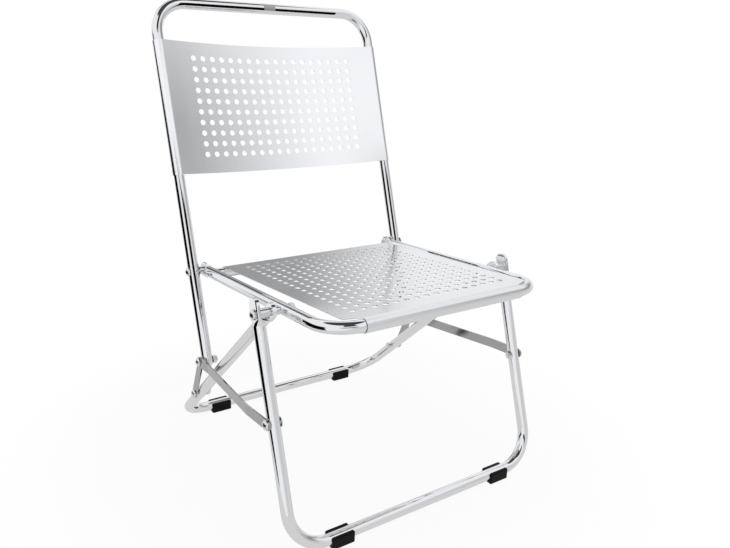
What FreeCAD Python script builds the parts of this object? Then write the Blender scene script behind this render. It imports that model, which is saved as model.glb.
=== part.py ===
import FreeCAD, Part
import math
import os

from FreeCAD import Vector

# Stainless steel folding chair, in millimetres and degrees. It stands open, facing -Y,
# with the origin on the floor under the middle of its outline.

# Tube and sheet
tube_diameter = 19.0
tube_wall = 1.2
cross_bar_diameter = 16.0
sheet_thickness = 1.2

# Widths: half the distance between the tube axes, the seat inside the back and the rear legs,
# and those inside the front legs
seat_half_width = 201.5
layer_gap = 2.5

# Side view: pivot distances, lengths along the tubes and angles of the open chair
seat_slope = 4.0
recline = 18.0
leg_pivot_reach = 290.0
back_tail = 160.0
link_length = 84.0
link_angle = -66.6
front_leg_length = 355.0
back_height = 472.5
seat_depth = 420.0
tail_end = 13.0

# Bend radii at the tube axis
back_bend = 56.0
seat_bend = 50.0
front_bend = 60.0
rear_bend = 57.0

# Pressed tube ends
flat_thickness = 6.0
flat_run = 8.0
flat_taper = 9.0
front_tip = 24.0
front_flat_offset = 3.0

# Perforation
hole_diameter = 10.0
hole_pitch = 19.2
seat_front_margin = 35.0
seat_rear_margin = 30.0
seat_side_margin = 33.0
back_top_margin = 28.5
back_bottom_margin = 32.0
back_side_margin = 58.0

# Seat panel and its rear cross bar
seat_side_gap = 14.0
seat_roll_margin = 1.5
seat_notch = 11.0
front_roll_gap = 0.8
front_roll_angle = 205.0
rear_roll_angle = 200.0
cross_bar_along = 28.0
cross_bar_drop = 2.0
panel_gap = 0.25

# Back panel
back_panel_drop = 67.5
back_panel_height = 235.0
back_panel_bow = 26.0
back_wrap_angle = 225.0

# Blank plate on the top bar
plate_length = 23.0
plate_height = 11.0
plate_thickness = 0.6

# Flat bars
bar_thickness = 2.5
bar_width = 17.0
strap_straight_rear = 40.0
strap_straight_front = 65.0

# Fasteners
bolt_diameter = 8.0
head_diameter = 16.0
head_height = 5.0
head_edge = 1.2
nut_across_flats = 13.0
nut_height = 6.5
cap_dome_height = 4.0
washer_diameter = 16.0
washer_thickness = 1.0
spacer_diameter = 14.0
thread_end = 1.5

# Clearances: a pin in its turning hole, a pin in a fixed piece, and faces of moving neighbours
pin_clearance = 0.06
fixed_clearance = 0.02
open_pin_clearance = 0.2
face_gap = 0.3

# Plastic feet on the floor bars
foot_length = 40.0
foot_sole = 3.0
foot_wall = 3.0
foot_front_rise = 6.5
foot_rear_rise = 8.0
foot_corner = 2.0
foot_bore_clearance = 0.05
foot_bend_gap = 1.5

tube_radius = tube_diameter / 2
bolt_radius = bolt_diameter / 2
layer_step = tube_diameter + layer_gap
back_half_width = seat_half_width + layer_step
rear_half_width = back_half_width
front_half_width = back_half_width + layer_step
flat_width = flat_thickness + math.pi * (tube_diameter - flat_thickness) / 2
front_roll_radius = tube_radius + front_roll_gap
front_roll_outer = front_roll_radius + sheet_thickness
seat_panel_half_width = seat_half_width - tube_radius - seat_side_gap
back_panel_bottom = back_height - back_panel_drop - back_panel_height
rivet_dome_height = layer_gap - face_gap
floor_bar_height = foot_sole + tube_radius

X_AXIS = Vector(1, 0, 0)


def side_direction(angle):
    """Unit vector in the side view, from the rear (+Y) towards up (+Z)."""
    return Vector(0, math.cos(math.radians(angle)), math.sin(math.radians(angle)))


# Directions along the seat and the back, each with its normal
seat_along = side_direction(180 - seat_slope)
seat_lift = side_direction(90 - seat_slope)
back_up = side_direction(90 - recline)
back_forward = side_direction(180 - recline)

# Pivots of the side linkage, as points in the middle plane
front_reach = -seat_along.y * seat_depth + front_roll_outer
rear_reach = back_up.y * back_height + tube_radius
back_pivot_height = floor_bar_height + back_up.z * front_leg_length - seat_along.z * leg_pivot_reach
back_pivot = Vector(0, (front_reach - rear_reach) / 2, back_pivot_height)
leg_pivot = back_pivot + seat_along * leg_pivot_reach
tail_pivot = back_pivot - back_up * back_tail
strap_pivot = leg_pivot - back_up * back_tail
link_pivot = tail_pivot + side_direction(link_angle) * link_length
rear_pivot_reach = (link_pivot - leg_pivot).Length
rear_down = (link_pivot - leg_pivot) / rear_pivot_reach
rear_leg_length = (leg_pivot.z - floor_bar_height) / -rear_down.z
front_down = back_up * -1


def frame_at(origin, along):
    """Map (x, distance along, distance off) to a point, for a frame lying in a slanted plane."""
    off = X_AXIS.cross(along)
    return lambda x, run, lift=0.0: origin + X_AXIS * x + along * run + off * lift


seat_at = frame_at(back_pivot, seat_along)
back_at = frame_at(back_pivot, back_up)
front_at = frame_at(leg_pivot, front_down)
rear_at = frame_at(leg_pivot, rear_down)


def seat_top_at(x, along, lift):
    """Point over the seat tubes, with the lift counted upwards."""
    return seat_at(x, along, -lift)


def arc_point(centre, e1, e2, radius, angle):
    turn = math.radians(angle)
    return centre + e1 * (radius * math.cos(turn)) + e2 * (radius * math.sin(turn))


def arc_edge(centre, e1, e2, radius, start, stop):
    """Arc about a centre, in the plane of two unit vectors, between two angles."""
    points = [arc_point(centre, e1, e2, radius, angle) for angle in (start, (start + stop) / 2, stop)]
    return Part.Arc(*points).toShape()


def u_path(at, half_width, start, length, bend):
    """Centre line of a U frame: down one side, round both corners, up the other side."""
    turn = bend * (1 - math.sqrt(0.5))
    corner = half_width - bend
    left_arc = [at(-half_width, length - bend), at(turn - half_width, length - turn), at(-corner, length)]
    right_arc = [at(corner, length), at(half_width - turn, length - turn), at(half_width, length - bend)]
    edges = [
        Part.makeLine(at(-half_width, start), left_arc[0]),
        Part.Arc(*left_arc).toShape(),
        Part.makeLine(left_arc[2], right_arc[0]),
        Part.Arc(*right_arc).toShape(),
        Part.makeLine(right_arc[2], at(half_width, start)),
    ]
    return Part.Wire(edges)


def u_tube(at, half_width, start, length, bend):
    """Hollow tube along a U path."""
    path = u_path(at, half_width, start, length, bend)
    begin = at(-half_width, start)
    heading = at(-half_width, start + 1) - begin
    swept = []
    for radius in (tube_radius, tube_radius - tube_wall):
        profile = Part.Wire(Part.makeCircle(radius, begin, heading))
        swept.append(path.makePipeShell([profile], True, False))
    return swept[0].cut(swept[1])


def round_section(centre, across, normal):
    """Tube section as four arcs, to loft from."""
    quarters = [(-45, 45), (45, 135), (135, 225), (225, 315)]
    return Part.Wire([arc_edge(centre, across, normal, tube_radius, *quarter) for quarter in quarters])


def flat_section(centre, across, normal):
    """Pressed tube section: two straight sides and two rounded edges."""
    half = flat_thickness / 2
    straight = flat_width / 2 - half
    low = centre - normal * straight
    high = centre + normal * straight
    return Part.Wire([
        Part.makeLine(low + across * half, high + across * half),
        arc_edge(high, across, normal, half, 0, 180),
        Part.makeLine(high - across * half, low - across * half),
        arc_edge(low, across, normal, half, 180, 360),
    ])


def pressed_end(at, half_width, tip, offset=0.0):
    """End of the right tube, pressed flat round a pivot at distance 0 along the frame."""
    normal = at(0, 0, 1) - at(0, 0, 0)
    along = at(0, 1) - at(0, 0)
    flat_x = half_width + offset
    round_end = round_section(at(half_width, flat_run + flat_taper), X_AXIS, normal)
    flat_start = flat_section(at(flat_x, flat_run), X_AXIS, normal)
    taper = Part.makeLoft([flat_start, round_end], True, True)
    blade = Part.Face(flat_start).extrude(along * -(flat_run + tip))
    rounding = tip - flat_width / 2
    left_x = flat_x - flat_thickness
    disc = Part.makeCylinder(flat_width / 2, 2 * flat_thickness, at(left_x, -rounding), X_AXIS)
    corner = at(left_x, -rounding, -flat_width)
    outline = Part.makePolygon([
        corner,
        corner + along * (flat_run + tip),
        corner + along * (flat_run + tip) + normal * (2 * flat_width),
        corner + normal * (2 * flat_width),
        corner,
    ])
    block = Part.Face(outline).extrude(X_AXIS * (2 * flat_thickness))
    return blade.common(block.fuse(disc)).fuse(taper)


def mirrored(shape):
    return shape.mirror(Vector(0, 0, 0), X_AXIS)


def both_sides(shape):
    """Right piece and its mirror image, as separate solids of one group."""
    return Part.makeCompound([shape, mirrored(shape)])


def rod(pivot, start, stop, radius):
    return Part.makeCylinder(radius, stop - start, pivot + X_AXIS * start, X_AXIS)


def ring(pivot, start, stop, radius, bore):
    return rod(pivot, start, stop, radius).cut(rod(pivot, start, stop, bore))


def through_holes(shape, pivot, radius):
    """Drill a pivot right across the chair."""
    reach = 2 * front_half_width
    return shape.cut(rod(pivot, -reach, reach, radius))


def dome(pivot, base, height, direction):
    """Rounded bolt head on a face at base, bulging along +X or -X."""
    radius = head_diameter / 2
    edge = min(head_edge, height / 2)
    crown = height - edge
    sphere = (radius ** 2 + crown ** 2) / (2 * crown)
    half_turn = math.degrees(math.asin(radius / sphere)) / 2
    side = X_AXIS * direction
    up = Vector(0, 0, 1)
    foot = pivot + X_AXIS * base
    middle = foot + side * (height - sphere)
    crown_middle = arc_point(middle, side, up, sphere, half_turn)
    rim = foot + side * edge + up * radius
    peak = foot + side * height
    profile = Part.Wire([
        Part.makeLine(foot, foot + up * radius),
        Part.makeLine(foot + up * radius, rim),
        Part.Arc(rim, crown_middle, peak).toShape(),
        Part.makeLine(peak, foot),
    ])
    return Part.Face(profile).revolve(foot, X_AXIS, 360)


def hexagon(pivot, start, stop):
    radius = nut_across_flats / math.sqrt(3)
    centre = pivot + X_AXIS * start
    corners = [arc_point(centre, Vector(0, 1, 0), Vector(0, 0, 1), radius, 60 * k) for k in range(7)]
    return Part.Face(Part.makePolygon(corners)).extrude(X_AXIS * (stop - start))


def nut(pivot, start, stop):
    return hexagon(pivot, start, stop).cut(rod(pivot, start, stop, bolt_radius + fixed_clearance))


def headed_bolt(pivot, start, face):
    """Bolt along X: its shank begins at start and its head sits on the outer side of face."""
    return rod(pivot, start, face, bolt_radius).fuse(dome(pivot, face, head_height, 1))


pin_hole = bolt_radius + pin_clearance
fixed_hole = bolt_radius + fixed_clearance

# Faces across the chair where pieces meet on the right side
seat_flat_inner = seat_half_width - flat_thickness / 2
seat_flat_outer = seat_half_width + flat_thickness / 2
seat_tube_inner = seat_half_width - tube_radius
seat_tube_outer = seat_half_width + tube_radius
back_tube_inner = back_half_width - tube_radius
back_tube_outer = back_half_width + tube_radius
rear_flat_inner = rear_half_width - flat_thickness / 2
rear_flat_outer = rear_half_width + flat_thickness / 2
front_flat_inner = front_half_width + front_flat_offset - flat_thickness / 2
front_flat_outer = front_flat_inner + flat_thickness
front_tube_inner = front_half_width - tube_radius
front_tube_outer = front_half_width + tube_radius
link_inner = back_tube_outer + washer_thickness + face_gap
link_outer = link_inner + bar_thickness
strap_rear_inner = link_outer + face_gap
strap_front_inner = front_tube_outer + face_gap
strap_front_outer = strap_front_inner + bar_thickness
tail_head_face = strap_rear_inner + bar_thickness + face_gap


def seat_frame_tube():
    """U of tube: the front bar joins the sides, whose rear ends are pressed round the back pivots."""
    tube = u_tube(seat_at, seat_half_width, flat_run + flat_taper, seat_depth, seat_bend)
    end = pressed_end(seat_at, seat_half_width, flat_width / 2)
    frame = tube.fuse([end, mirrored(end)])
    frame = through_holes(frame, back_pivot, fixed_hole)
    return through_holes(frame, leg_pivot, fixed_hole)


def cross_bar(reach):
    start = seat_top_at(-reach, cross_bar_along, -cross_bar_drop)
    return Part.makeCylinder(cross_bar_diameter / 2, 2 * reach, start, X_AXIS)


def seat_rear_crossbar(frame):
    """Tube between the seat tubes, its ends cut to fit against them."""
    start = seat_top_at(-seat_half_width, cross_bar_along, -cross_bar_drop)
    bore = Part.makeCylinder(cross_bar_diameter / 2 - tube_wall, 2 * seat_half_width, start, X_AXIS)
    pieces = cross_bar(seat_half_width).cut(frame).cut(bore).Solids
    return max(pieces, key=lambda piece: piece.Volume)


def hole_grid(width, run_length, at, first_row, low, high):
    """Round tools for a square grid of holes that fills a field, centred across the chair."""
    columns = int(width / hole_pitch) + 1
    rows = int(run_length / hole_pitch) + 1
    tools = []
    for column in range(columns):
        x = (column - (columns - 1) / 2) * hole_pitch
        for row in range(rows):
            run = first_row - row * hole_pitch
            bottom = at(x, run, low)
            axis = at(x, run, high) - bottom
            tools.append(Part.makeCylinder(hole_diameter / 2, high - low, bottom, axis))
    return Part.makeCompound(tools)


def seat_panel():
    """Perforated sheet rolled over the front bar and the rear cross bar."""
    edge = -seat_panel_half_width
    rear_centre = seat_top_at(edge, cross_bar_along, -cross_bar_drop)
    front_centre = seat_top_at(edge, seat_depth, 0)
    rear_radius = cross_bar_diameter / 2 + panel_gap
    span = front_centre - rear_centre
    ahead = span / span.Length
    above = (seat_lift - ahead * seat_lift.dot(ahead)).normalize()
    # Angle at which the flat sheet leaves both rolls
    leave = math.degrees(math.acos((rear_radius - front_roll_radius) / span.Length))
    paths = []
    for extra in (0.0, sheet_thickness):
        rear_outer = rear_radius + extra
        front_outer = front_roll_radius + extra
        rear_roll = arc_edge(rear_centre, ahead, above, rear_outer, leave + rear_roll_angle, leave)
        front_roll = arc_edge(front_centre, ahead, above, front_outer, leave, leave - front_roll_angle)
        rear_leave = arc_point(rear_centre, ahead, above, rear_outer, leave)
        front_leave = arc_point(front_centre, ahead, above, front_outer, leave)
        ends = (
            arc_point(rear_centre, ahead, above, rear_outer, leave + rear_roll_angle),
            arc_point(front_centre, ahead, above, front_outer, leave - front_roll_angle),
        )
        paths.append(([rear_roll, Part.makeLine(rear_leave, front_leave), front_roll], ends))
    (inner, inner_ends), (outer, outer_ends) = paths
    caps = [Part.makeLine(inner_ends[0], outer_ends[0]), Part.makeLine(inner_ends[1], outer_ends[1])]
    outline = Part.Wire(Part.__sortEdges__(inner + outer + caps))
    sheet = Part.Face(outline).extrude(X_AXIS * (2 * seat_panel_half_width))
    roll_half_width = seat_half_width - seat_bend - seat_roll_margin
    far = seat_depth + 2 * front_roll_outer
    depth = 3 * front_roll_outer
    notch = Part.makePolygon([
        seat_top_at(seat_panel_half_width + 1, seat_depth - seat_notch, -depth),
        seat_top_at(seat_panel_half_width, seat_depth - seat_notch, -depth),
        seat_top_at(roll_half_width, seat_depth, -depth),
        seat_top_at(roll_half_width, far, -depth),
        seat_top_at(seat_panel_half_width + 1, far, -depth),
        seat_top_at(seat_panel_half_width + 1, seat_depth - seat_notch, -depth),
    ])
    corner = Part.Face(notch).extrude(seat_lift * (2 * depth))
    sheet = sheet.cut([corner, mirrored(corner)])
    first_row = seat_depth - seat_front_margin
    field_width = 2 * (seat_panel_half_width - seat_side_margin)
    field_length = first_row - cross_bar_along - seat_rear_margin
    return sheet.cut(hole_grid(field_width, field_length, seat_top_at, first_row, 0, depth))


def back_frame_tube():
    """Upside-down U of tube with rounded closed lower ends."""
    low = -(back_tail + tail_end - tube_radius)
    tube = u_tube(back_at, back_half_width, low, back_height, back_bend)
    end = Part.makeSphere(tube_radius, back_at(back_half_width, low), back_up * -1, 0, 90, 360)
    frame = tube.fuse([end, mirrored(end)])
    frame = through_holes(frame, back_pivot, pin_hole)
    return through_holes(frame, tail_pivot, fixed_hole)


def back_panel():
    """Perforated sheet, bowed backwards between the tubes and wrapped round them."""
    wrap_inner = tube_radius + panel_gap
    reach = (back_half_width ** 2 + back_panel_bow ** 2) / (2 * back_panel_bow)
    bow_centre = back_at(0, back_panel_bottom, reach - back_panel_bow)
    tube_centre = back_at(back_half_width, back_panel_bottom)
    # Angle at which the bowed sheet leaves the tube, counted from +X towards the front
    leave = 90 + math.degrees(math.atan2(back_half_width, reach - back_panel_bow))
    edges = []
    ends = []
    for radius in (wrap_inner, wrap_inner + sheet_thickness):
        wrap = arc_edge(tube_centre, X_AXIS, back_forward, radius, leave - back_wrap_angle, leave)
        right_leave = arc_point(tube_centre, X_AXIS, back_forward, radius, leave)
        left_leave = right_leave - X_AXIS * (2 * right_leave.x)
        lowest = bow_centre - back_forward * (reach - radius)
        edges += [wrap, mirrored(wrap), Part.Arc(right_leave, lowest, left_leave).toShape()]
        ends.append(arc_point(tube_centre, X_AXIS, back_forward, radius, leave - back_wrap_angle))
    cap = Part.makeLine(*ends)
    outline = Part.Wire(Part.__sortEdges__(edges + [cap, mirrored(cap)]))
    sheet = Part.Face(outline).extrude(back_up * back_panel_height)
    first_row = back_panel_bottom + back_panel_height - back_top_margin
    field_width = 2 * (back_half_width - back_side_margin)
    field_length = back_panel_height - back_top_margin - back_bottom_margin
    behind = -2 * back_panel_bow
    return sheet.cut(hole_grid(field_width, field_length, back_at, first_row, behind, 2 * wrap_inner))


def blank_badge_plate():
    """Thin curved plate on the front of the top bar."""
    centre = back_at(-plate_length / 2, back_height)
    inner = tube_radius + fixed_clearance
    half_angle = math.degrees(math.asin(plate_height / tube_diameter))
    arcs = []
    for radius in (inner, inner + plate_thickness):
        arcs.append(arc_edge(centre, back_forward, back_up, radius, -half_angle, half_angle))
    caps = []
    for angle in (-half_angle, half_angle):
        start = arc_point(centre, back_forward, back_up, inner, angle)
        stop = arc_point(centre, back_forward, back_up, inner + plate_thickness, angle)
        caps.append(Part.makeLine(start, stop))
    outline = Part.Wire(Part.__sortEdges__(arcs + caps))
    return Part.Face(outline).extrude(X_AXIS * plate_length)


def front_leg_frame():
    """U of tube with its floor bar; the tops are pressed flat, a little outwards."""
    tube = u_tube(front_at, front_half_width, flat_run + flat_taper, front_leg_length, front_bend)
    end = pressed_end(front_at, front_half_width, front_tip, front_flat_offset)
    frame = tube.fuse([end, mirrored(end)])
    frame = through_holes(frame, leg_pivot, pin_hole)
    return through_holes(frame, strap_pivot, fixed_hole)


def rear_leg_frame():
    """U of tube with its floor bar; the tops are pressed flat round the leg pivots."""
    tube = u_tube(rear_at, rear_half_width, flat_run + flat_taper, rear_leg_length, rear_bend)
    end = pressed_end(rear_at, rear_half_width, flat_width / 2)
    frame = tube.fuse([end, mirrored(end)])
    frame = through_holes(frame, leg_pivot, pin_hole)
    return through_holes(frame, link_pivot, fixed_hole)


def foot(bar_y, place):
    """Plastic foot clipped round a floor bar, with a low front wall and a higher rear one."""
    half = tube_radius + foot_wall
    bar = Vector(place - foot_length / 2, bar_y, floor_bar_height)
    points = [
        (-half, foot_front_rise),
        (half, foot_rear_rise),
        (half, -floor_bar_height),
        (-half, -floor_bar_height),
    ]
    corners = [bar + Vector(0, y, z) for y, z in points]
    block = Part.Face(Part.makePolygon(corners + corners[:1])).extrude(X_AXIS * foot_length)
    block = block.makeFillet(foot_corner, block.Edges)
    bore = Part.makeCylinder(tube_radius + foot_bore_clearance, foot_length, bar, X_AXIS)
    return block.cut(bore)


def link():
    """Short flat bar from the back's lower end to the rear leg, on the right side."""
    along = (link_pivot - tail_pivot) / link_length
    return flat_bar(along, [(0, link_inner), (link_length, link_inner)], (pin_hole, fixed_hole))


def strap():
    """Long flat bar from the back's lower end to the front leg, set outwards on the way."""
    length = leg_pivot_reach
    route = [
        (0, strap_rear_inner),
        (strap_straight_rear, strap_rear_inner),
        (length - strap_straight_front, strap_front_inner),
        (length, strap_front_inner),
    ]
    return flat_bar(seat_along, route, (pin_hole, bolt_radius + open_pin_clearance))


def flat_bar(along, route, hole_radii):
    """Flat bar with round ends from the back's lower end, its inner face at route's (distance, x)."""
    half = bar_width / 2
    length = route[-1][0]
    normal = X_AXIS.cross(along)
    stretched = [(-half, route[0][1])] + route[1:-1] + [(length + half, route[-1][1])]
    inner = [tail_pivot + along * run + X_AXIS * x - normal * half for run, x in stretched]
    outer = [point + X_AXIS * bar_thickness for point in reversed(inner)]
    body = Part.Face(Part.makePolygon(inner + outer + inner[:1])).extrude(normal * bar_width)
    near = tail_pivot
    far = tail_pivot + along * length
    outline = Part.Wire([
        Part.makeLine(near - normal * half, far - normal * half),
        arc_edge(far, along, normal, half, -90, 90),
        Part.makeLine(far + normal * half, near + normal * half),
        arc_edge(near, along, normal, half, 90, 270),
    ])
    body = body.common(Part.Face(outline).extrude(X_AXIS * (2 * front_half_width)))
    for pivot, radius in zip((near, far), hole_radii):
        body = through_holes(body, pivot, radius)
    return body


def link_bolt_head():
    """Head on the outer end of the link, with its stub in the link's hole."""
    stub = rod(link_pivot, link_inner, link_outer, bolt_radius)
    return stub.fuse(dome(link_pivot, link_outer, head_height, 1))


def strap_rivet():
    """Rivet through the front leg, with a low dome inside and a head over the strap."""
    face = strap_front_outer + face_gap
    inner_dome = dome(strap_pivot, front_tube_inner, rivet_dome_height, -1)
    return headed_bolt(strap_pivot, front_tube_inner, face).fuse(inner_dome)


def cap_nut(pivot, stop):
    """Hexagon nut with a domed blind end that points inwards."""
    start = stop - nut_height
    blind = rod(pivot, start, stop, bolt_radius + fixed_clearance)
    radius = nut_across_flats / 2
    ball = (radius ** 2 + cap_dome_height ** 2) / (2 * cap_dome_height)
    sphere = Part.makeSphere(ball, pivot + X_AXIS * (start - cap_dome_height + ball))
    cap = sphere.common(rod(pivot, start - cap_dome_height, start, radius))
    return hexagon(pivot, start, stop).fuse(cap).cut(blind)


def build_parts():
    spacer_radius = spacer_diameter / 2
    washer_radius = washer_diameter / 2
    front_bar_y = front_at(0, front_leg_length).y
    rear_bar_y = rear_at(0, rear_leg_length).y
    head_face = back_tube_outer + face_gap
    leg_washer = front_flat_outer + face_gap
    leg_head_face = leg_washer + washer_thickness
    back_nut_start = seat_flat_inner - nut_height
    leg_nut_start = seat_tube_inner - nut_height
    tail_nut_start = back_tube_inner - nut_height
    link_nut_start = back_tube_inner - nut_height
    stud_end = back_tube_outer + washer_thickness
    seat_frame = seat_frame_tube()
    right_strap = strap()
    right_link = link()
    right_head = link_bolt_head()
    foot_inset = foot_bend_gap + foot_length / 2
    front_foot = foot(front_bar_y, front_half_width - front_bend - foot_inset)
    rear_foot = foot(rear_bar_y, rear_half_width - rear_bend - foot_inset)

    def bush(pivot, start, stop):
        return both_sides(ring(pivot, start, stop, spacer_radius, fixed_hole))

    def washer(pivot, start):
        return both_sides(ring(pivot, start, start + washer_thickness, washer_radius, fixed_hole))

    return {
        "seat_frame_tube": seat_frame,
        "seat_rear_crossbar": seat_rear_crossbar(seat_frame),
        "seat_panel": seat_panel(),
        "back_pivot_bolts": both_sides(headed_bolt(back_pivot, back_nut_start - thread_end, head_face)),
        "back_pivot_nuts": both_sides(nut(back_pivot, back_nut_start, seat_flat_inner)),
        "back_pivot_spacers": bush(back_pivot, seat_flat_outer, back_tube_inner - face_gap),
        "leg_pivot_bolts": both_sides(headed_bolt(leg_pivot, leg_nut_start - thread_end, leg_head_face)),
        "leg_pivot_nuts": both_sides(nut(leg_pivot, leg_nut_start, seat_tube_inner)),
        "leg_pivot_inner_spacers": bush(leg_pivot, seat_tube_outer, rear_flat_inner - face_gap),
        "leg_pivot_outer_spacers": bush(leg_pivot, rear_flat_outer + face_gap, front_flat_inner - face_gap),
        "leg_pivot_washers": washer(leg_pivot, leg_washer),
        "back_frame_tube": back_frame_tube(),
        "back_panel": back_panel(),
        "blank_badge_plate": blank_badge_plate(),
        "tail_bolts": both_sides(headed_bolt(tail_pivot, tail_nut_start, tail_head_face)),
        "tail_cap_nuts": both_sides(cap_nut(tail_pivot, back_tube_inner)),
        "tail_washers": washer(tail_pivot, back_tube_outer),
        "front_leg_frame": front_leg_frame(),
        "front_right_foot": front_foot,
        "front_left_foot": mirrored(front_foot),
        "strap_rivets": both_sides(strap_rivet()),
        "rear_leg_frame": rear_leg_frame(),
        "rear_right_foot": rear_foot,
        "rear_left_foot": mirrored(rear_foot),
        "link_studs": both_sides(rod(link_pivot, link_nut_start - thread_end, stud_end, bolt_radius)),
        "link_stud_nuts": both_sides(nut(link_pivot, link_nut_start, back_tube_inner)),
        "link_stud_washers": washer(link_pivot, back_tube_outer),
        "right_strap": right_strap,
        "left_strap": mirrored(right_strap),
        "right_link": right_link,
        "left_link": mirrored(right_link),
        "right_link_bolt_head": right_head,
        "left_link_bolt_head": mirrored(right_head),
    }


os.makedirs("parts", exist_ok=True)
for name, shape in build_parts().items():
    shape.exportStep(os.path.join("parts", name + ".step"))
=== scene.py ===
import math

import bmesh
import bpy
from mathutils import Matrix, Vector

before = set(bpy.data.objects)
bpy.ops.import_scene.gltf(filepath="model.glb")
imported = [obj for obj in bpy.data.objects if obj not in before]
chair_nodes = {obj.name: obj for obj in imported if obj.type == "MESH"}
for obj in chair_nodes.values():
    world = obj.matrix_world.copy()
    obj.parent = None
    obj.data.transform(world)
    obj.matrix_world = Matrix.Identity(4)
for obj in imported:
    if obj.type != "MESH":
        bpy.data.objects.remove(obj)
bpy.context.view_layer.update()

# Seat frame: one length of round stainless tube, bent to a U with its ends pressed flat,
# and a straight cross bar welded between its sides. Both are polished to a mirror.


def start_material(name):
    """New material with a Principled shader, and its node tree."""
    material = bpy.data.materials.new(name)
    material.use_nodes = True
    return material, material.node_tree


def add_node(tree, kind, **values):
    """New node with input values by name."""
    node = tree.nodes.new(kind)
    for name, value in values.items():
        node.inputs[name.replace("_", " ")].default_value = value
    return node


def start_group(name, inputs, outputs):
    """New shader node group with float or vector sockets."""
    group = bpy.data.node_groups.new(name, "ShaderNodeTree")
    for socket, kind in inputs.items():
        group.interface.new_socket(socket, in_out="INPUT", socket_type=kind)
    for socket, kind in outputs.items():
        group.interface.new_socket(socket, in_out="OUTPUT", socket_type=kind)
    return group, group.nodes.new("NodeGroupInput"), group.nodes.new("NodeGroupOutput")


def use_group(tree, group, **values):
    """Node that uses a group, with input values by name."""
    node = tree.nodes.new("ShaderNodeGroup")
    node.node_tree = group
    for name, value in values.items():
        node.inputs[name.replace("_", " ")].default_value = value
    return node


def finish_with(material, *names):
    """Give CAD nodes one material."""
    for name in names:
        chair_nodes[name].data.materials.clear()
        chair_nodes[name].data.materials.append(material)


def polishing_marks():
    """Cloudy wiping marks and a very fine ripple left by the polishing wheel."""
    group, given, result = start_group(
        "polishing_marks",
        {"Place": "NodeSocketVector", "Least": "NodeSocketFloat", "Most": "NodeSocketFloat"},
        {"Roughness": "NodeSocketFloat", "Normal": "NodeSocketVector"},
    )
    wiping = add_node(group, "ShaderNodeTexNoise", Scale=14.0, Detail=5.0, Roughness=0.6)
    spread = add_node(group, "ShaderNodeMapRange", From_Min=0.35, From_Max=0.7)
    ripple = add_node(group, "ShaderNodeTexNoise", Scale=260.0, Detail=2.0)
    relief = add_node(group, "ShaderNodeBump", Strength=0.004, Distance=0.0004)
    link = group.links.new
    link(given.outputs["Place"], wiping.inputs["Vector"])
    link(given.outputs["Place"], ripple.inputs["Vector"])
    link(wiping.outputs["Fac"], spread.inputs["Value"])
    link(given.outputs["Least"], spread.inputs["To Min"])
    link(given.outputs["Most"], spread.inputs["To Max"])
    link(ripple.outputs["Fac"], relief.inputs["Height"])
    link(spread.outputs["Result"], result.inputs["Roughness"])
    link(relief.outputs["Normal"], result.inputs["Normal"])
    return group


marks = polishing_marks()
polished_tube, tree = start_material("polished_tube")
steel = tree.nodes["Principled BSDF"]
steel.inputs["Base Color"].default_value = (0.83, 0.83, 0.835, 1)
steel.inputs["Metallic"].default_value = 1.0
place = add_node(tree, "ShaderNodeTexCoord")
worn = use_group(tree, marks, Least=0.02, Most=0.06)
tree.links.new(place.outputs["Object"], worn.inputs["Place"])
tree.links.new(worn.outputs["Roughness"], steel.inputs["Roughness"])
tree.links.new(worn.outputs["Normal"], steel.inputs["Normal"])
finish_with(polished_tube, "seat_frame_tube", "seat_rear_crossbar")

# Seat panel: stainless sheet punched with round holes, satin ground, and rolled over
# the front of the tube and over the rear cross bar.


def brushed_grain():
    """Fine straight scratches of a satin finish, along one direction, with slow clouding."""
    group, given, result = start_group(
        "brushed_grain",
        {"Place": "NodeSocketVector", "Least": "NodeSocketFloat", "Most": "NodeSocketFloat"},
        {"Roughness": "NodeSocketFloat", "Normal": "NodeSocketVector", "Streak": "NodeSocketFloat"},
    )
    stretch = add_node(group, "ShaderNodeMapping", Scale=(9.0, 900.0, 900.0))
    scratch = add_node(group, "ShaderNodeTexNoise", Scale=1.0, Detail=3.0, Roughness=0.7)
    cloud = add_node(group, "ShaderNodeTexNoise", Scale=9.0, Detail=3.0)
    both = add_node(group, "ShaderNodeMath")
    both.operation = "MULTIPLY_ADD"
    scratch_share = 0.6
    both.inputs[1].default_value = scratch_share
    spread = add_node(group, "ShaderNodeMapRange", From_Min=0.55, From_Max=1.05)
    relief = add_node(group, "ShaderNodeBump", Strength=0.04, Distance=0.0003)
    link = group.links.new
    link(given.outputs["Place"], stretch.inputs["Vector"])
    link(given.outputs["Place"], cloud.inputs["Vector"])
    link(stretch.outputs["Vector"], scratch.inputs["Vector"])
    link(scratch.outputs["Fac"], both.inputs[0])
    link(cloud.outputs["Fac"], both.inputs[2])
    link(both.outputs[0], spread.inputs["Value"])
    link(given.outputs["Least"], spread.inputs["To Min"])
    link(given.outputs["Most"], spread.inputs["To Max"])
    link(scratch.outputs["Fac"], relief.inputs["Height"])
    link(spread.outputs["Result"], result.inputs["Roughness"])
    link(relief.outputs["Normal"], result.inputs["Normal"])
    link(scratch.outputs["Fac"], result.inputs["Streak"])
    return group


grain = brushed_grain()


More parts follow.
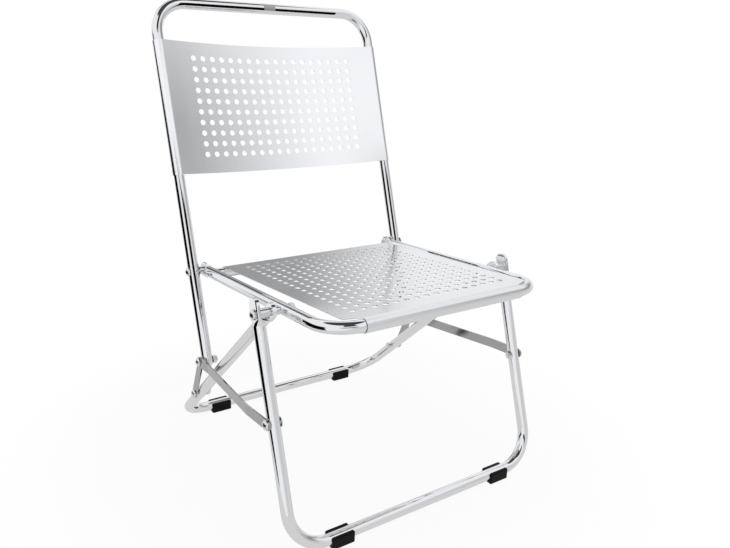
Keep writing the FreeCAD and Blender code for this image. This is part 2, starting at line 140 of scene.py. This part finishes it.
def satin_steel(name, colour, least, most):
    """Ground stainless sheet of one smoothness."""
    material, tree = start_material(name)
    steel = tree.nodes["Principled BSDF"]
    steel.inputs["Metallic"].default_value = 1.0
    place = add_node(tree, "ShaderNodeTexCoord")
    ground = use_group(tree, grain, Least=least, Most=most)
    tint = add_node(tree, "ShaderNodeMix")
    tint.data_type = "RGBA"
    scratch_shade = 0.94
    tint.inputs["A"].default_value = [scratch_shade * part for part in colour[:3]] + [1]
    tint.inputs["B"].default_value = colour
    tree.links.new(place.outputs["Object"], ground.inputs["Place"])
    tree.links.new(ground.outputs["Streak"], tint.inputs["Factor"])
    tree.links.new(tint.outputs["Result"], steel.inputs["Base Color"])
    tree.links.new(ground.outputs["Roughness"], steel.inputs["Roughness"])
    tree.links.new(ground.outputs["Normal"], steel.inputs["Normal"])
    return material


seat_sheet = satin_steel("seat_sheet", (0.84, 0.84, 0.845, 1), 0.13, 0.2)
finish_with(seat_sheet, "seat_panel")

# Seat pivots: bolts through the flattened tube ends, with nuts, washers and spacer
# bushes, all turned from bright steel.
bright_steel, tree = start_material("bright_steel")
steel = tree.nodes["Principled BSDF"]
steel.inputs["Base Color"].default_value = (0.74, 0.74, 0.75, 1)
steel.inputs["Metallic"].default_value = 1.0
place = add_node(tree, "ShaderNodeTexCoord")
worn = use_group(tree, marks, Least=0.12, Most=0.24)
tree.links.new(place.outputs["Object"], worn.inputs["Place"])
tree.links.new(worn.outputs["Roughness"], steel.inputs["Roughness"])
tree.links.new(worn.outputs["Normal"], steel.inputs["Normal"])
finish_with(
    bright_steel,
    "back_pivot_bolts", "back_pivot_nuts", "back_pivot_spacers",
    "leg_pivot_bolts", "leg_pivot_nuts", "leg_pivot_washers",
    "leg_pivot_inner_spacers", "leg_pivot_outer_spacers",
)

# Back frame: one length of polished tube, an upside-down U with closed lower ends,
# bolted to the seat sides, with bolts, cap nuts and washers at its lower ends.
finish_with(polished_tube, "back_frame_tube")
finish_with(bright_steel, "tail_bolts", "tail_cap_nuts", "tail_washers")

# Back panel: stainless sheet punched with round holes and satin ground, bowed backwards
# between the back tubes, with both its edges wrapped round them.
# Its colour is set lighter than the seat sheet's, a painted reflection standing in for the brighter
# sheen the back panel shows.
back_sheet_with_painted_sheen = satin_steel("back_sheet_with_painted_sheen", (0.96, 0.96, 0.965, 1), 0.1, 0.17)
finish_with(back_sheet_with_painted_sheen, "back_panel")

# Plate: a small blank plate of thin metal, painted grey, curved to the tube and stuck
# to the middle of the top bar.
plate_paint, tree = start_material("plate_paint")
paint = tree.nodes["Principled BSDF"]
paint.inputs["Roughness"].default_value = 0.45
place = add_node(tree, "ShaderNodeTexCoord")
speckle = add_node(tree, "ShaderNodeTexNoise", Scale=700.0, Detail=2.0)
shade = add_node(tree, "ShaderNodeValToRGB")
shade.color_ramp.elements[0].color = (0.30, 0.30, 0.31, 1)
shade.color_ramp.elements[1].color = (0.46, 0.46, 0.47, 1)
tree.links.new(place.outputs["Object"], speckle.inputs["Vector"])
tree.links.new(speckle.outputs["Fac"], shade.inputs["Fac"])
tree.links.new(shade.outputs["Color"], paint.inputs["Base Color"])
finish_with(plate_paint, "blank_badge_plate")

# Legs: two U frames of polished tube with floor bars. The front one carries the strap
# rivets, the rear one the studs of the links.
finish_with(polished_tube, "front_leg_frame", "rear_leg_frame")
finish_with(bright_steel, "strap_rivets", "link_studs", "link_stud_nuts", "link_stud_washers")

# Feet: four clips moulded in black plastic, with a low front wall and a higher rear one,
# pressed round the floor bars.
foot_plastic, tree = start_material("foot_plastic")
plastic = tree.nodes["Principled BSDF"]
plastic.inputs["Specular IOR Level"].default_value = 0.12
place = add_node(tree, "ShaderNodeTexCoord")
mould = add_node(tree, "ShaderNodeTexNoise", Scale=900.0, Detail=3.0)
scuff = add_node(tree, "ShaderNodeTexNoise", Scale=60.0, Detail=5.0, Roughness=0.7)
relief = add_node(tree, "ShaderNodeBump", Strength=0.2, Distance=0.0003)
shade = add_node(tree, "ShaderNodeValToRGB")
shade.color_ramp.elements[0].position = 0.35
shade.color_ramp.elements[0].color = (0.0015, 0.0015, 0.0015, 1)
shade.color_ramp.elements[1].position = 0.8
shade.color_ramp.elements[1].color = (0.005, 0.005, 0.0052, 1)
wear = add_node(tree, "ShaderNodeMapRange", From_Min=0.3, From_Max=0.75, To_Min=0.34, To_Max=0.55)
tree.links.new(place.outputs["Object"], mould.inputs["Vector"])
tree.links.new(place.outputs["Object"], scuff.inputs["Vector"])
tree.links.new(scuff.outputs["Fac"], shade.inputs["Fac"])
tree.links.new(scuff.outputs["Fac"], wear.inputs["Value"])
tree.links.new(mould.outputs["Fac"], relief.inputs["Height"])
tree.links.new(shade.outputs["Color"], plastic.inputs["Base Color"])
tree.links.new(wear.outputs["Result"], plastic.inputs["Roughness"])
tree.links.new(relief.outputs["Normal"], plastic.inputs["Normal"])
finish_with(foot_plastic, "front_right_foot", "front_left_foot", "rear_right_foot", "rear_left_foot")

# Straps and links: flat bars cut from ground steel, with round ends, joined by bolts at
# the back's lower ends. The bolt heads on the links are turned from bright steel.
# The bars' grey is partly the darker steel and partly painted shade, made darker to stand in for the
# shaded floor the bars mirror.
bar_steel_with_painted_shade = satin_steel("bar_steel_with_painted_shade", (0.44, 0.44, 0.445, 1), 0.05, 0.11)
finish_with(bar_steel_with_painted_shade, "right_strap", "left_strap", "right_link", "left_link")
finish_with(bright_steel, "right_link_bolt_head", "left_link_bolt_head")

# Studio: white paper floor that keeps a soft shadow, a white room with darker areas that
# the steel mirrors, and one large soft lamp overhead.


def stage_card(name, width, depth, centre, tilt):
    """Flat rectangular stage piece, turned about X."""
    card = bmesh.new()
    bmesh.ops.create_grid(card, x_segments=1, y_segments=1, size=0.5)
    bmesh.ops.scale(card, vec=(width, depth, 1), verts=card.verts)
    bmesh.ops.rotate(card, cent=(0, 0, 0), matrix=Matrix.Rotation(tilt, 3, "X"), verts=card.verts)
    bmesh.ops.translate(card, vec=centre, verts=card.verts)
    mesh = bpy.data.meshes.new(name)
    card.to_mesh(mesh)
    card.free()
    stage = bpy.data.objects.new(name, mesh)
    bpy.context.scene.collection.objects.link(stage)
    return stage


floor_width = 4.64
floor_depth = 5.6
floor_centre = (1.68, 1.2, 0)
white_to_camera = 1.0
pale_in_mirrors = 0.75
shadow_reach = 0.42
shadow_end = 0.64
share_under_chair = 0.92
floor = stage_card("floor", floor_width, floor_depth, floor_centre, 0)
paper, tree = start_material("floor_paper")
tree.nodes.remove(tree.nodes["Principled BSDF"])
path = add_node(tree, "ShaderNodeLightPath")
seen = add_node(tree, "ShaderNodeMath")
seen.operation = "MAXIMUM"
seen_all = add_node(tree, "ShaderNodeMath")
seen_all.operation = "MAXIMUM"
spot = add_node(tree, "ShaderNodeTexCoord")
reach = add_node(tree, "ShaderNodeVectorMath")
reach.operation = "LENGTH"
fade = add_node(
    tree, "ShaderNodeMapRange",
    From_Min=shadow_reach, From_Max=shadow_end, To_Min=share_under_chair, To_Max=1.0,
)
share = add_node(tree, "ShaderNodeMath")
share.operation = "MULTIPLY"
tone = add_node(tree, "ShaderNodeMapRange", To_Min=pale_in_mirrors, To_Max=white_to_camera)
matt = add_node(tree, "ShaderNodeBsdfDiffuse", Color=(0.92, 0.92, 0.92, 1))
glow = add_node(tree, "ShaderNodeEmission", Strength=1.0)
blend = add_node(tree, "ShaderNodeMixShader")
tree.links.new(path.outputs["Is Camera Ray"], seen.inputs[0])
tree.links.new(path.outputs["Is Glossy Ray"], seen.inputs[1])
tree.links.new(seen.outputs[0], seen_all.inputs[0])
tree.links.new(path.outputs["Is Transmission Ray"], seen_all.inputs[1])
tree.links.new(seen_all.outputs[0], share.inputs[0])
tree.links.new(spot.outputs["Object"], reach.inputs[0])
tree.links.new(reach.outputs["Value"], fade.inputs["Value"])
tree.links.new(fade.outputs["Result"], share.inputs[1])
tree.links.new(path.outputs["Is Camera Ray"], tone.inputs["Value"])
tree.links.new(tone.outputs["Result"], glow.inputs["Strength"])
tree.links.new(share.outputs[0], blend.inputs["Fac"])
tree.links.new(matt.outputs[0], blend.inputs[1])
tree.links.new(glow.outputs[0], blend.inputs[2])
tree.links.new(blend.outputs[0], tree.nodes["Material Output"].inputs["Surface"])
floor.data.materials.append(paper)


def dark_area():
    """Mask of one soft-edged patch of the room, by bearing from the front and by height."""
    sockets = ("Bearing", "Height", "Left", "Right", "Low", "High", "Soft", "Fade", "Depth")
    group, given, result = start_group(
        "dark_area",
        {name: "NodeSocketFloat" for name in sockets},
        {"Clear": "NodeSocketFloat"},
    )
    link = group.links.new
    masks = []
    spans = (("Bearing", "Left", "Right", "Soft"), ("Height", "Low", "High", "Fade"))
    for measure, lower, upper, edge in spans:
        for first, second in ((measure, lower), (upper, measure)):
            inside = add_node(group, "ShaderNodeMath")
            inside.operation = "SUBTRACT"
            soft = add_node(group, "ShaderNodeMath")
            soft.operation = "DIVIDE"
            soft.use_clamp = True
            link(given.outputs[first], inside.inputs[0])
            link(given.outputs[second], inside.inputs[1])
            link(inside.outputs[0], soft.inputs[0])
            link(given.outputs[edge], soft.inputs[1])
            masks.append(soft.outputs[0])
    product = given.outputs["Depth"]
    for mask in masks:
        times = add_node(group, "ShaderNodeMath")
        times.operation = "MULTIPLY"
        link(product, times.inputs[0])
        link(mask, times.inputs[1])
        product = times.outputs[0]
    clear = add_node(group, "ShaderNodeMath")
    clear.operation = "SUBTRACT"
    clear.inputs[0].default_value = 1.0
    link(product, clear.inputs[1])
    link(clear.outputs[0], result.inputs["Clear"])
    return group


room = bpy.data.worlds.new("studio_room")
room.use_nodes = True
bpy.context.scene.world = room
tree = room.node_tree
link = tree.links.new
compass = add_node(tree, "ShaderNodeTexCoord")
parts = add_node(tree, "ShaderNodeSeparateXYZ")
link(compass.outputs["Generated"], parts.inputs[0])
forward = add_node(tree, "ShaderNodeMath")
forward.operation = "MULTIPLY"
forward.inputs[1].default_value = -1.0
link(parts.outputs["Y"], forward.inputs[0])
turn = add_node(tree, "ShaderNodeMath")
turn.operation = "ARCTAN2"
link(parts.outputs["X"], turn.inputs[0])
link(forward.outputs[0], turn.inputs[1])
bearing = add_node(tree, "ShaderNodeMath")
bearing.operation = "DEGREES"
link(turn.outputs[0], bearing.inputs[0])
rise = add_node(tree, "ShaderNodeMath")
rise.operation = "ARCSINE"
link(parts.outputs["Z"], rise.inputs[0])
height = add_node(tree, "ShaderNodeMath")
height.operation = "DEGREES"
link(rise.outputs[0], height.inputs[0])
areas = dark_area()
brightness = None
for left, right, low, high, soft, fade, depth in (
    (-152, -76, -60, 4, 6, 4, 1.0),
    (-152, -76, -5, 11, 8, 4, 1.0),
    (-46, 18, 12, 23.5, 14, 1.5, 1.0),
    (24, 136, 2, 38, 30, 16, 0.68),
    (-20, 100, -60, 14, 20, 6, 0.3),
    (142, 200, -40, 20, 9, 4, 0.64),
    (158, 200, 17, 36, 5, 4, 0.88),
    (-200, -168, 17, 36, 5, 4, 0.88),
    (-34, 16, 34, 62, 6, 5, 0.97),
    (-200, 200, 57, 110, 4, 4, 0.94),
):
    patch = use_group(
        tree, areas, Left=left, Right=right, Low=low, High=high, Soft=soft, Fade=fade, Depth=depth)
    link(bearing.outputs[0], patch.inputs["Bearing"])
    link(height.outputs[0], patch.inputs["Height"])
    if brightness is None:
        brightness = patch.outputs[0]
    else:
        times = add_node(tree, "ShaderNodeMath")
        times.operation = "MULTIPLY"
        link(brightness, times.inputs[0])
        link(patch.outputs[0], times.inputs[1])
        brightness = times.outputs[0]
path = add_node(tree, "ShaderNodeLightPath")
mirrored = tree.nodes["Background"]
mirrored.inputs["Color"].default_value = (0.97, 0.98, 1.0, 1)
link(brightness, mirrored.inputs["Strength"])
backdrop = add_node(tree, "ShaderNodeBackground", Color=(1, 1, 1, 1), Strength=1.0)
fill = add_node(tree, "ShaderNodeBackground", Color=(1, 1, 1, 1), Strength=0.6)
by_mirror = add_node(tree, "ShaderNodeMixShader")
by_camera = add_node(tree, "ShaderNodeMixShader")
link(path.outputs["Is Glossy Ray"], by_mirror.inputs["Fac"])
link(fill.outputs[0], by_mirror.inputs[1])
link(mirrored.outputs[0], by_mirror.inputs[2])
seen = add_node(tree, "ShaderNodeMath")
seen.operation = "MAXIMUM"
link(path.outputs["Is Camera Ray"], seen.inputs[0])
link(path.outputs["Is Transmission Ray"], seen.inputs[1])
link(seen.outputs[0], by_camera.inputs["Fac"])
link(by_mirror.outputs[0], by_camera.inputs[1])
link(backdrop.outputs[0], by_camera.inputs[2])
link(by_camera.outputs[0], tree.nodes["World Output"].inputs["Surface"])

lamp = bpy.data.lights.new("overhead_softbox", "AREA")
lamp.shape = "RECTANGLE"
lamp.size = 1.6
lamp.size_y = 1.2
lamp.energy = 16.0
lamp_object = bpy.data.objects.new("overhead_softbox", lamp)
lamp_object.location = (0.2, -0.4, 2.3)
lamp_object.rotation_euler = (math.radians(-12), math.radians(4), 0)
lamp_object.visible_camera = False
lamp_object.visible_glossy = False
bpy.context.scene.collection.objects.link(lamp_object)

# Flag: a narrow black card just in front of the top bar, hidden from the camera, which the
# polished tube mirrors as a dark line.
flag_width = 0.33
flag_height = 0.033
flag_centre = (0, 0.248, 0.7735)
upright = math.radians(90)
flag = stage_card("flag", flag_width, flag_height, flag_centre, upright)
flag.visible_camera = False
flag.visible_diffuse = False
flag.visible_shadow = False
flag_cloth, tree = start_material("flag_cloth")
cloth = tree.nodes["Principled BSDF"]
cloth.inputs["Base Color"].default_value = (0.004, 0.004, 0.004, 1)
cloth.inputs["Specular IOR Level"].default_value = 0.0
cloth.inputs["Roughness"].default_value = 1.0
flag.data.materials.append(flag_cloth)

# Camera: a normal lens a little below the top of the back, left of the front, looking down
# at the seat.
yaw = math.radians(-35.618)
pitch = math.radians(-17.715)
roll = math.radians(2.385)
lens_place = (-0.688545, -1.031910, 0.728081)
ahead = Vector((-math.sin(yaw) * math.cos(pitch), math.cos(yaw) * math.cos(pitch), math.sin(pitch)))
level = Vector((math.cos(yaw), math.sin(yaw), 0))
above = level.cross(ahead)
to_right = math.cos(roll) * level + math.sin(roll) * above
to_top = math.cos(roll) * above - math.sin(roll) * level
camera = bpy.data.objects.new("camera", bpy.data.cameras.new("camera"))
camera.data.sensor_width = 36.0
camera.data.lens = 35.877
facing = Matrix((to_right, to_top, -ahead)).transposed().to_4x4()
camera.matrix_world = Matrix.Translation(lens_place) @ facing
bpy.context.scene.collection.objects.link(camera)
bpy.context.scene.camera = camera
bpy.context.scene.view_settings.view_transform = "Standard"
